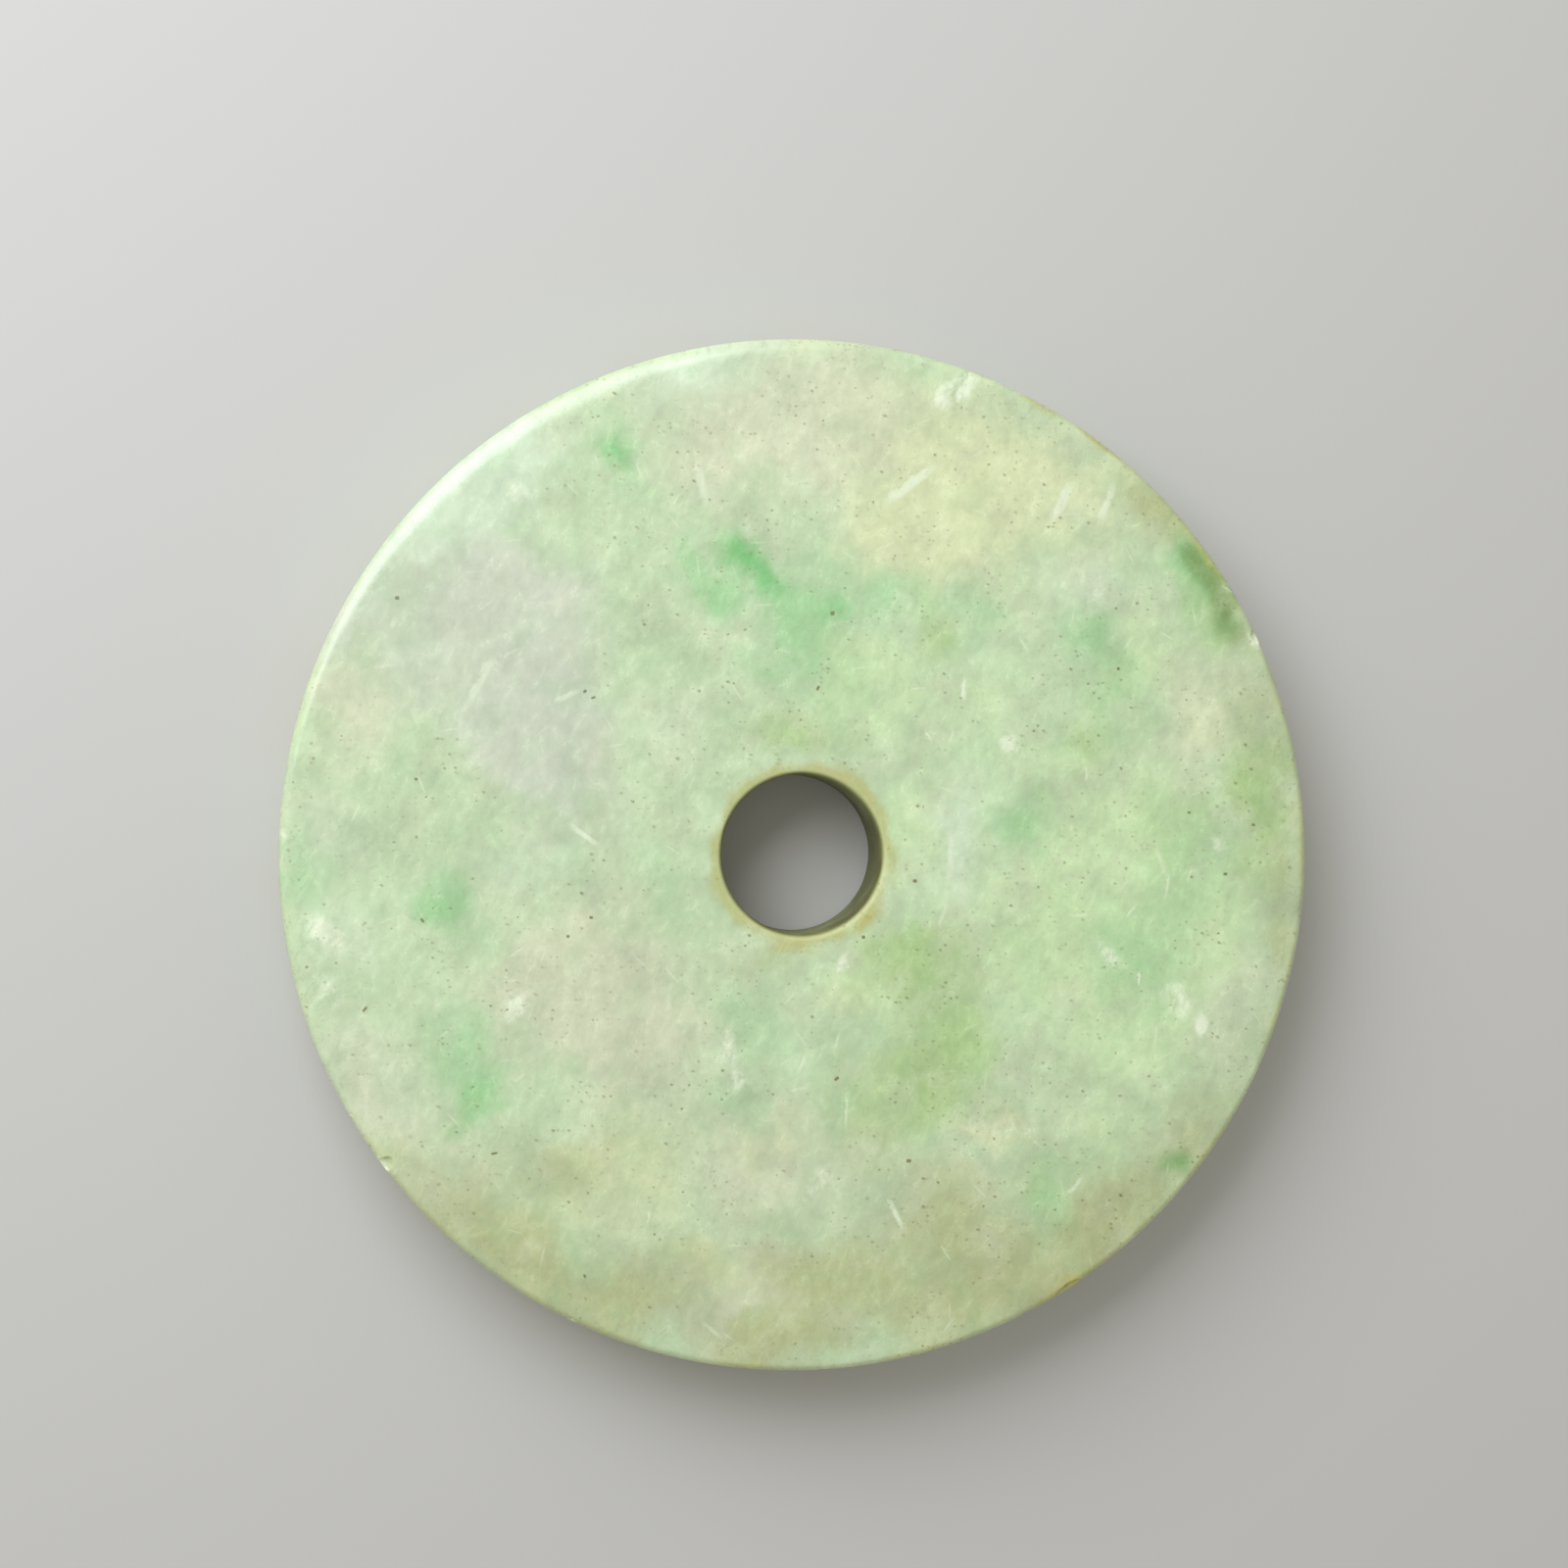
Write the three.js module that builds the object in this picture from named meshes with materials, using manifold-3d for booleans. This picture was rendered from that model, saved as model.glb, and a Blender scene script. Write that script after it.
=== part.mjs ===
// A jade bi: a flat, polished disc of pale green jadeite with a round bore drilled through its middle.
// It lies on its underside. Millimetres, +Z up, with the origin at the middle of the underside.

import * as THREE from "three";
import { mergeVertices } from "three/addons/utils/BufferGeometryUtils.js";
import Module from "manifold-3d";

// The disc
const DISC_DIAMETER = 50;
const DISC_THICKNESS = 5;
const WALL_BARREL = 0.12; // how far the side wall swells at mid height

// The bore
const BORE_DIAMETER = 7.7;
const BORE_EDGE_EASE = 0.22; // the eased edge at its narrowest, as wide as it is deep
const BORE_EDGE_WEAR = 0.16; // how much wider the edge is on the side that a cord has rubbed
const CORD_WEAR_BEARING = -35; // degrees from +X, the middle of the rubbed side

// The rim: a quarter of an ellipse takes each face into the side wall. Grinding by hand left it broad on one side.
const RIM_EASE_WIDTH = 0.55; // along the face, at its narrowest
const RIM_EASE_DEPTH = 0.5; // down the side wall
const RIM_EASE_BROADENING = 0.65; // what the broad side has on top of RIM_EASE_WIDTH
const BROAD_SIDE_BEARING = 128; // degrees from +X, the middle of the broad side

// Chips in the upper edge of the rim: where they are, how long along the rim, how far in they reach and how deep
const RIM_CHIPS = [
  { bearing: 25.4, length: 0.9, reach: 0.4, depth: 0.36 },
  { bearing: 216.4, length: 0.8, reach: 0.6, depth: 0.36 },
  { bearing: 301.8, length: 1.7, reach: 0.42, depth: 0.36 },
];

// How finely round shapes are cut
const TURN_STEPS = 96;
const RIM_EASE_STEPS = 4;
const BORE_EASE_STEPS = 2;
const CHIP_STEPS = 10;

const JADE_GREEN = 0xbfd4ad;
const MERGE_TOLERANCE = 1e-4;

const discRadius = DISC_DIAMETER / 2;
const boreRadius = BORE_DIAMETER / 2;
const edgeRadius = discRadius - WALL_BARREL; // of the side wall where it meets the eased rim

// 0 opposite the bearing and 1 at it, in a smooth swell.
function nearBearing(angle, bearing) {
  return (1 + Math.cos(angle - THREE.MathUtils.degToRad(bearing))) / 2;
}

function rimEaseWidth(angle) {
  return RIM_EASE_WIDTH + RIM_EASE_BROADENING * nearBearing(angle, BROAD_SIDE_BEARING) ** 2;
}

function boreEdgeEase(angle) {
  return BORE_EDGE_EASE + BORE_EDGE_WEAR * nearBearing(angle, CORD_WEAR_BEARING) ** 2;
}

// A quarter of an ellipse as [radius, height] points, from one angle on the ellipse to another.
function quarterEllipse(centre, reach, from, to, steps) {
  return Array.from({ length: steps + 1 }, (_, i) => {
    const turn = THREE.MathUtils.lerp(from, to, i / steps);
    return [centre[0] + reach[0] * Math.cos(turn), centre[1] + reach[1] * Math.sin(turn)];
  });
}

// The disc's section at one angle: [radius, height] points, out along the underside, up the rim, in and down the bore.
function section(angle) {
  const rim = rimEaseWidth(angle);
  const ease = boreEdgeEase(angle);
  const top = DISC_THICKNESS;
  const quarter = Math.PI / 2;
  return [
    ...quarterEllipse([edgeRadius - rim, RIM_EASE_DEPTH], [rim, RIM_EASE_DEPTH], -quarter, 0, RIM_EASE_STEPS),
    [discRadius, top / 2],
    ...quarterEllipse([edgeRadius - rim, top - RIM_EASE_DEPTH], [rim, RIM_EASE_DEPTH], 0, quarter, RIM_EASE_STEPS),
    ...quarterEllipse([boreRadius + ease, top - ease], [ease, ease], quarter, 2 * quarter, BORE_EASE_STEPS),
    ...quarterEllipse([boreRadius + ease, ease], [ease, ease], 2 * quarter, 3 * quarter, BORE_EASE_STEPS),
  ];
}

// One closed surface from a section that changes as it goes round the Z axis.
function turnedRing(sectionAt, steps) {
  const positions = [];
  const faces = [];
  const count = sectionAt(0).length;
  for (let step = 0; step < steps; step++) {
    const angle = (2 * Math.PI * step) / steps;
    for (const [radius, height] of sectionAt(angle)) {
      positions.push(radius * Math.cos(angle), radius * Math.sin(angle), height);
    }
    for (let i = 0; i < count; i++) {
      const here = step * count + i;
      const beside = step * count + ((i + 1) % count);
      const ahead = ((step + 1) % steps) * count + i;
      const opposite = ((step + 1) % steps) * count + ((i + 1) % count);
      faces.push(here, ahead, opposite, here, opposite, beside);
    }
  }
  return new THREE.BufferGeometry()
    .setAttribute("position", new THREE.Float32BufferAttribute(positions, 3))
    .setIndex(faces);
}

// The body of stone that a chip took away: an ellipsoid centred on the upper edge of the rim.
function chipShape({ bearing, length, reach, depth }) {
  return new THREE.SphereGeometry(1, CHIP_STEPS, CHIP_STEPS / 2)
    .rotateX(Math.PI / 2)
    .scale(reach, length / 2, depth)
    .translate(edgeRadius, 0, DISC_THICKNESS)
    .rotateZ(THREE.MathUtils.degToRad(bearing));
}

const wasm = await Module();
wasm.setup();

function toSolid(geometry) {
  const bare = geometry.clone();
  bare.deleteAttribute("normal");
  bare.deleteAttribute("uv");
  const merged = mergeVertices(bare, MERGE_TOLERANCE);
  return new wasm.Manifold(
    new wasm.Mesh({
      numProp: 3,
      vertProperties: merged.getAttribute("position").array,
      triVerts: new Uint32Array(merged.getIndex().array),
    }),
  );
}

function toGeometry(solid) {
  const mesh = solid.getMesh();
  return new THREE.BufferGeometry()
    .setAttribute("position", new THREE.BufferAttribute(mesh.vertProperties, 3))
    .setIndex(new THREE.BufferAttribute(mesh.triVerts, 1))
    .toNonIndexed();
}

function jadeDisc() {
  let stone = toSolid(turnedRing(section, TURN_STEPS));
  for (const chip of RIM_CHIPS) {
    stone = stone.subtract(toSolid(chipShape(chip)));
  }
  const geometry = toGeometry(stone);
  geometry.computeVertexNormals();
  const jade = new THREE.MeshStandardMaterial({ color: JADE_GREEN, roughness: 0.25, metalness: 0 });
  const disc = new THREE.Mesh(geometry, jade);
  disc.name = "jade_disc";
  return disc;
}

const bi = new THREE.Group();
bi.add(jadeDisc());

export default bi;
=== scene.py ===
# A jade bi: a flat disc of pale jadeite with a bore, on a plain pale floor under soft light.
# Lengths are metres unless a name or comment says millimetres. X is right, Y away and Z up.

import math
import random

import bpy
from mathutils import Matrix, Vector, noise


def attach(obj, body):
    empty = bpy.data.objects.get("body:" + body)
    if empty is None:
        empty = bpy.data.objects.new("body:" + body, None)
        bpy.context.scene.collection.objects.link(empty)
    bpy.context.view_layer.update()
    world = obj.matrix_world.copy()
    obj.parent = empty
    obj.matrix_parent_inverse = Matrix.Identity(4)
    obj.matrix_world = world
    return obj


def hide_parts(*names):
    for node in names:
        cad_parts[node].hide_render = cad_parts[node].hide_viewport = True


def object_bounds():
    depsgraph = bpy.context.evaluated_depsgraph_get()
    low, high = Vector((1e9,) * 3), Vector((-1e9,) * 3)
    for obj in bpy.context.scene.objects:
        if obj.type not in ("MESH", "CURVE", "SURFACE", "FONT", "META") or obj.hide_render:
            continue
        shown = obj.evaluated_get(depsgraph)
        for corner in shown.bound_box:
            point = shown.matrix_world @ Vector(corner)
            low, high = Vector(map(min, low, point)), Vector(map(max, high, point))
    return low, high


bl_info = {
    "name": "Jade Bi",
    "version": (1, 0, 0),
    "blender": (4, 5, 0),
    "location": "3D View > Sidebar > Jade Bi",
    "description": "Models a flat jade disc with a bore, its stone and a plain stage",
    "category": "Add Mesh",
}

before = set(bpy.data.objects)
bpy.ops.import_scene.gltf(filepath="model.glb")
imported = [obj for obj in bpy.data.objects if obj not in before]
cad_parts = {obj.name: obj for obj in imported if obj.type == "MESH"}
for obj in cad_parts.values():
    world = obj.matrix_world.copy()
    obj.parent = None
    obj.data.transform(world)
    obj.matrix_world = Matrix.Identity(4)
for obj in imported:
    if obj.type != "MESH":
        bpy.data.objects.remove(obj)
CAD_LOW, CAD_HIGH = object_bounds()
CAD_NODE = "jade_disc"
BODY = "root"

MM = 0.001
PER_METRE = 1000  # millimetres in a metre, for patterns that count in millimetres
TOP_MM = CAD_HIGH.z * PER_METRE
MERGE_DISTANCE = 0.001 * MM


def bore_radius_of(node):
    """The CAD node's bore, as the distance of its nearest corner from the Z axis."""
    return min(math.hypot(v.co.x, v.co.y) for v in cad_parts[node].data.vertices)


def tone(red, green, blue):
    """A colour as an eye reads it, in parts of 255, turned into the linear light that a shader takes."""
    parts = (channel / 255 for channel in (red, green, blue))
    return tuple(((p + 0.055) / 1.055) ** 2.4 if p > 0.04045 else p / 12.92 for p in parts)


# The chips in the upper edge of the rim: the bearing in degrees from +X, then millimetres along the rim,
# in over the face and down
CHIPS = (
    (25.4, 0.9, 0.40, 0.36),
    (216.4, 0.8, 0.60, 0.36),
    (301.8, 1.7, 0.42, 0.36),
    (209.8, 0.35, 0.25, 0.2),
    (243.5, 0.4, 0.28, 0.22),
)

# Where the rim has been nibbled by small knocks: from one bearing to another, and how many knocks there are
NIBBLED_STRETCHES = ((38, 68, 16), (-28, 24, 9), (235, 330, 10))
NIBBLE_SEED = 11
NIBBLE_MM = (0.12, 0.34)  # along the rim
NIBBLE_REACH = 0.45  # in over the face, as a share of the length
NIBBLE_DEPTH = 0.5  # downwards, as a share of the length
NIBBLE_SINK = (0.1, 0.5)  # below the upper face, as a share of the rim's depth

# Marks in the upper face: millimetres right and up of the bore's middle, half length, half width,
# degrees that the mark is turned, and strength
# Bluish white clouds; the marks by the upper left rim also lighten it there as a painted sheen
PALE_CLOUDS_AND_SHEEN = (
    (-14.4, 17.6, 6.4, 3.8, 45, 0.9),
    (-17.6, 16.4, 8.0, 4.0, 45, 0.7),
    (-4.6, 23.2, 7.0, 2.8, 12, 0.9),
    (8.6, 4.6, 4.4, 5.4, 0, 0.5),
    (7.4, 0.4, 2.6, 3.4, 0, 0.6),
    (12.6, -7.6, 6.6, 8.0, 15, 0.4),
    (14.6, -2.6, 4.6, 4.4, 0, 0.25),
    (-22.2, -4.0, 3.8, 3.0, -45, 0.4),
    (-12.6, 0.2, 6.0, 2.4, 15, 0.6),
    (13.8, 13.8, 3.4, 3.0, 0, 0.7),
    (18.2, -7.8, 2.6, 3.0, 0, 0.2),
    (2.6, 8.0, 3.4, 2.6, 0, 0.8),
    (-22.4, 1.0, 3.4, 4.0, 0, 0.5),
    (-18.8, 10.0, 3.6, 5.6, -20, 0.4),
    (-2.0, -14.4, 3.4, 2.8, 0, 0.7),
    (7.6, 14.4, 6.0, 3.0, 0, 0.4),
)
MINT_CLOUDS = (
    (14.0, 2.5, 7.4, 5.6, 0, 0.8),
    (12.0, -3.6, 6.4, 5.4, 0, 0.9),
    (15.4, -8.0, 8.6, 7.4, 0, 0.8),
    (19.0, -2.5, 4.6, 6.4, 0, 0.9),
    (3.2, 7.8, 4.6, 3.6, 0, 0.9),
    (8.4, 6.6, 4.4, 4.4, 0, 0.6),
    (17.5, 9.8, 3.4, 3.2, 0, 0.8),
    (6.0, -9.8, 4.6, 2.8, 0, 0.7),
    (14.6, -14.6, 3.6, 4.0, 0, 0.5),
    (9.0, 13.4, 3.6, 2.8, 0, 0.5),
    (3.4, -6.4, 4.0, 2.8, -30, 0.8),
    (5.6, 1.4, 2.6, 4.8, 0, 0.6),
    (1.6, 9.4, 3.2, 2.4, 0, 0.6),
    (19.6, -3.2, 2.6, 2.6, 0, 0.5),
    (15.0, 8.0, 4.0, 4.0, 0, 0.4),
)
LAVENDER_CLOUDS = (
    (-13.4, 10.2, 6.6, 7.4, 0, 1.0),
    (-12.4, 5.6, 5.6, 4.6, 0, 0.9),
    (-15.8, 13.2, 4.2, 3.6, 0, 0.6),
    (-11.2, 2.6, 4.0, 3.0, 0, 0.5),
    (20.8, -8.2, 3.2, 5.0, -15, 0.2),
    (-20.6, -10.8, 6.6, 3.4, -60, 0.45),
    (-1.8, -21.4, 6.4, 3.6, 0, 0.8),
    (-18.8, 9.6, 3.6, 5.6, -20, 0.5),
    (-6.0, 6.4, 4.0, 4.4, 0, 0.3),
    (-20.8, 12.2, 3.0, 5.4, -30, 0.5),
    (-17.0, -16.8, 4.4, 2.6, -45, 0.4),
    (-22.6, 10.0, 2.6, 4.6, 0, 0.4),
)
ROSE_CLOUDS = (
    (1.0, 21.4, 7.4, 6.0, 0, 0.9),
    (5.0, 19.0, 6.0, 5.0, 0, 0.5),
    (-4.6, 19.4, 5.0, 5.6, 0, 0.7),
    (-21.4, 7.4, 4.2, 4.2, 0, 0.7),
    (19.6, 8.4, 4.2, 5.2, 0, 0.6),
    (-9.4, -5.2, 6.0, 5.4, 0, 1.0),
    (-7.6, -9.6, 5.2, 4.6, 0, 0.9),
    (-13.4, -7.6, 3.8, 4.6, 0, 0.7),
    (-1.6, -14.8, 6.4, 4.6, 0, 0.8),
    (-2.8, -21.6, 8.4, 4.4, 0, 0.9),
    (-20.8, -10.4, 6.4, 3.4, -60, 0.5),
    (-16.4, -16.4, 6.4, 4.0, -45, 0.6),
    (-22.6, 1.6, 3.0, 5.4, 0, 0.3),
    (21.0, -8.0, 3.4, 5.6, -15, 0.5),
)
CREAM_CLOUDS = (
    (9.0, 18.0, 12.0, 7.4, -30, 0.6),
    (8.4, 19.6, 7.0, 4.0, -30, 0.3),
    (5.6, 15.8, 6.4, 4.8, 0, 0.55),
    (13.8, 18.2, 5.0, 3.6, -45, 0.3),
    (-8.2, -14.8, 4.6, 5.0, 0, 0.6),
    (-11.6, -17.0, 4.4, 3.2, 0, 0.25),
    (9.6, -13.2, 3.4, 1.8, 0, 0.9),
    (-4.6, -19.4, 3.4, 1.8, 0, 0.9),
    (-1.6, -13.9, 3.6, 2.4, 0, 0.7),
    (7.0, -18.0, 6.0, 5.0, 0, 0.5),
    (2.4, -6.8, 2.6, 2.4, 0, 0.5),
    (19.6, 7.0, 3.6, 4.0, 0, 0.4),
    (4.6, 14.4, 5.0, 3.4, 0, 0.45),
)
# Brownish clouds; the marks along the lower and right rim also darken it there as painted shade
UMBER_CLOUDS_AND_RIM_SHADE = (
    (-8.6, -21.4, 6.6, 4.2, 15, 0.7),
    (-14.4, -18.8, 5.6, 3.2, -45, 0.9),
    (8.6, -21.0, 7.4, 3.8, 15, 0.8),
    (6.6, -17.4, 4.6, 3.4, 0, 0.7),
    (14.2, -18.8, 5.8, 3.2, 45, 0.9),
    (18.8, -14.2, 5.4, 2.8, 60, 0.6),
    (1.2, -20.4, 4.8, 2.8, 0, 0.7),
    (-1.0, -23.4, 6.0, 2.0, 0, 0.9),
    (0.0, -20.0, 14.0, 5.4, 0, 0.3),
    (-12.6, -17.6, 9.0, 5.0, -40, 0.3),
    (13.0, -16.6, 9.0, 5.4, 40, 0.35),
    (23.6, 1.0, 10.0, 2.6, 90, 0.4),
    (21.8, -10.6, 8.0, 2.6, 65, 0.3),
    (-19.0, -15.6, 5.2, 3.0, -60, 0.5),
    (20.4, 12.4, 3.6, 1.8, -60, 0.7),
    (17.2, 17.0, 4.6, 2.4, -45, 0.7),
    (-11.6, -14.8, 3.6, 2.8, 0, 0.4),
    (-15.8, -11.8, 1.8, 2.6, -30, 0.5),
    (3.8, -13.4, 4.6, 3.4, 0, 0.45),
    (-1.6, -5.4, 3.0, 1.8, 0, 0.5),
    (0.4, 6.0, 4.4, 2.6, 0, 0.25),
    (23.4, -3.6, 1.8, 6.4, 0, 0.45),
    (-8.0, -14.4, 6.0, 4.0, 0, 0.3),
    (22.4, 7.4, 3.2, 6.6, 0, 0.45),
)
OLIVE_CLOUDS = (
    (7.0, -6.4, 4.4, 6.2, 0, 0.65),
    (7.4, -10.4, 4.2, 4.2, 0, 0.5),
    (4.6, -4.8, 3.4, 3.0, 0, 0.65),
    (4.4, -11.6, 5.4, 4.0, 0, 0.6),
    (22.4, 3.4, 2.4, 5.2, 0, 0.7),
    (18.4, 1.8, 3.6, 3.6, 0, 0.4),
    (6.4, 10.8, 2.4, 2.8, 0, 0.7),
    (14.0, 5.4, 2.4, 2.0, 0, 0.6),
    (12.0, -16.4, 2.4, 3.4, 0, 0.5),
    (19.8, 12.6, 4.2, 2.2, -60, 0.9),
    (15.6, 8.0, 2.0, 4.2, 15, 0.3),
    (15.6, -3.0, 9.0, 12.0, 0, 0.1),
    (22.4, -0.4, 2.4, 4.0, 0, 0.5),
    (0.4, 6.0, 4.4, 2.6, 0, 0.5),
    (-1.4, 5.6, 3.0, 2.0, 0, 0.3),
)
GREEN_CLOUDS = (
    (-8.7, 19.3, 3.2, 2.2, -45, 0.8),
    (-4.6, 13.0, 3.2, 1.5, -55, 0.8),
    (-2.2, 13.6, 4.2, 2.2, -45, 0.9),
    (1.4, 11.8, 4.0, 3.2, 0, 0.7),
    (2.4, 8.8, 3.8, 3.2, 0, 0.25),
    (-0.8, 9.4, 3.0, 2.8, 0, 0.65),
    (5.2, 12.4, 3.0, 2.2, 0, 0.4),
    (8.8, 12.0, 2.2, 1.6, 0, 0.5),
    (14.5, 10.6, 2.6, 3.0, 0, 0.7),
    (15.6, 7.6, 2.4, 4.2, 15, 0.45),
    (19.6, 13.8, 4.6, 2.4, -60, 0.9),
    (11.0, 1.6, 2.8, 2.4, -45, 0.6),
    (19.4, -0.6, 3.2, 4.0, 0, 0.45),
    (17.0, -5.0, 4.4, 4.0, 0, 0.5),
    (13.0, -5.0, 12.0, 12.0, 0, 0.15),
    (12.4, -16.6, 2.4, 5.0, -10, 0.5),
    (-16.8, -2.4, 2.8, 1.8, -45, 0.75),
    (-16.4, -9.6, 2.4, 3.8, 15, 0.65),
    (-15.6, -12.0, 2.0, 2.6, -15, 0.8),
    (-23.6, -0.8, 3.4, 3.6, 0, 0.5),
    (-6.6, -1.8, 3.0, 3.2, 0, 0.35),
    (-2.4, -8.2, 3.2, 2.2, 0, 0.45),
    (-3.0, -11.4, 2.4, 1.4, 0, 0.4),
    (2.2, -9.4, 3.4, 3.4, 0, 0.2),
)
EMERALD_STREAKS = (
    (-8.9, 19.3, 2.2, 1.0, -45, 0.5),
    (-3.2, 14.7, 2.0, 1.3, -40, 0.55),
    (-1.8, 13.5, 2.3, 1.3, -45, 0.6),
    (1.6, 11.8, 1.6, 1.3, 0, 0.4),
    (19.6, 14.0, 2.4, 1.0, -60, 0.8),
    (20.6, 11.8, 1.6, 0.8, -60, 0.4),
    (10.8, 1.8, 1.2, 0.9, -45, 0.3),
    (-15.8, -11.4, 1.4, 0.9, -60, 0.45),
    (-16.9, -2.5, 1.2, 0.6, -45, 0.35),
    (18.3, -15.2, 1.5, 1.0, -15, 0.6),
    (14.3, 10.6, 1.2, 1.6, 0, 0.2),
)
MOSS_CLOUDS = (
    (19.8, 13.6, 2.8, 1.5, -60, 0.7),
    (20.8, 11.6, 2.2, 1.3, -60, 0.7),
    (18.3, -15.2, 1.6, 1.2, -15, 0.45),
    (22.6, 3.0, 1.6, 3.4, 0, 0.3),
    (7.6, -8.8, 2.2, 3.8, 0, 0.15),
    (-15.8, -11.6, 2.0, 1.6, -60, 0.25),
    (-16.9, -2.5, 1.6, 1.0, -45, 0.2),
    (-6.2, -2.4, 2.6, 2.8, 0, 0.15),
    (17.0, -17.2, 4.0, 1.6, 45, 0.2),
    (14.5, 10.6, 2.2, 2.6, 0, 0.12),
    (-4.6, 12.9, 3.0, 1.4, -55, 0.1),
    (18.6, 15.4, 3.0, 1.6, -50, 0.3),
    (-6.4, 7.0, 3.6, 3.6, 0, 0.1),
    (23.2, 9.0, 2.0, 5.0, 0, 0.12),
)
COTTON_CLOUDS = (
    (10.1, 5.4, 1.0, 0.7, -60, 2.0),
    (-22.7, -3.7, 1.6, 0.9, -42, 1.4),
    (-24.6, 1.0, 0.8, 0.6, 0, 0.8),
    (-22.6, -6.3, 1.4, 1.0, -60, 0.8),
    (-13.6, -7.3, 1.3, 1.1, 60, 1.0),
    (-3.5, -9.3, 1.6, 0.7, -80, 1.1),
    (-3.0, -10.8, 0.9, 0.7, 0, 1.1),
    (2.0, -5.2, 0.8, 0.6, 30, 1.1),
    (-13.6, 17.4, 1.5, 0.7, -35, 0.9),
    (7.6, 22.4, 2.2, 0.8, 40, 1.6),
    (9.9, -13.2, 3.3, 1.0, 0, 0.5),
    (19.5, -8.4, 0.9, 0.5, 80, 1.8),
    (18.4, -7.0, 1.4, 1.0, -60, 1.0),
    (15.0, -4.9, 1.3, 0.7, -40, 1.0),
    (20.4, 0.5, 1.1, 0.6, -60, 0.7),
    (0.9, -15.6, 1.6, 0.7, 60, 0.8),
    (-18.7, 17.0, 1.1, 0.7, 40, 0.4),
    (22.3, 10.5, 0.7, 0.5, -65, 1.6),
    (-20.0, -14.8, 0.7, 0.6, -54, 1.8),
    (-21.8, -12.4, 0.4, 0.4, -60, 1.2),
    (-11.1, -22.3, 0.4, 0.4, -30, 1.2),
    (14.3, 13.0, 1.7, 0.6, 78, 0.8),
)
BORE_STAINS = (
    (-0.6, -4.5, 2.4, 0.6, 0, 0.6),
    (3.2, -3.2, 1.8, 0.6, 45, 0.7),
    (4.6, -0.6, 1.8, 0.5, 85, 0.4),
)

# Dirt along the rim, and a painted golden glint on the lower right: bearing, millimetres in from the edge,
# half length, half width and strength
RIM_STAINS_AND_GLINT = (
    (62, 0.2, 2.0, 0.6, 0.6),
    (54, 0.2, 2.4, 0.45, 0.9),
    (44, 0.5, 4.0, 1.4, 0.25),
    (36, 0.2, 3.4, 0.7, 0.5),
    (20, 0.1, 5.0, 0.8, 0.4),
    (0, 0.1, 5.0, 0.8, 0.5),
    (-18, 0.1, 5.0, 0.8, 0.5),
    (-36, 0.1, 5.0, 0.8, 0.5),
    # Stronger here as a painted golden glint near the chip at 301.8 degrees, on the dirt there
    (-57, 0.2, 5.0, 0.8, 0.8),
    (-76, 0.1, 5.0, 0.8, 0.5),
    (-95, 0.1, 5.0, 0.8, 0.5),
    (-114, 0.1, 5.0, 0.8, 0.4),
    (-135, 0.1, 5.0, 0.8, 0.2),
)


def along_rim(bearing, inwards, length, width, strength):
    """A mark that lies along the rim."""
    turn = math.radians(bearing)
    radius = CAD_HIGH.x * PER_METRE - inwards
    return (radius * math.cos(turn), radius * math.sin(turn), length, width, bearing + 90, strength)


CLOUDS = {
    "pale": PALE_CLOUDS_AND_SHEEN,
    "mint": MINT_CLOUDS,
    "lavender": LAVENDER_CLOUDS,
    "rose": ROSE_CLOUDS,
    "cream": CREAM_CLOUDS,
    "umber_and_rim_shade": UMBER_CLOUDS_AND_RIM_SHADE,
    "olive": OLIVE_CLOUDS,
    "green": GREEN_CLOUDS,
    "emerald": EMERALD_STREAKS,
    "moss": MOSS_CLOUDS,
    "ochre": BORE_STAINS + tuple(along_rim(*stain) for stain in RIM_STAINS_AND_GLINT),
    "cotton": COTTON_CLOUDS,
}
# How ragged some kinds are, where the others have 1
RAGGED = {"emerald": 0.4, "moss": 0.6, "ochre": 0.25, "cotton": 0.25}

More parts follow.
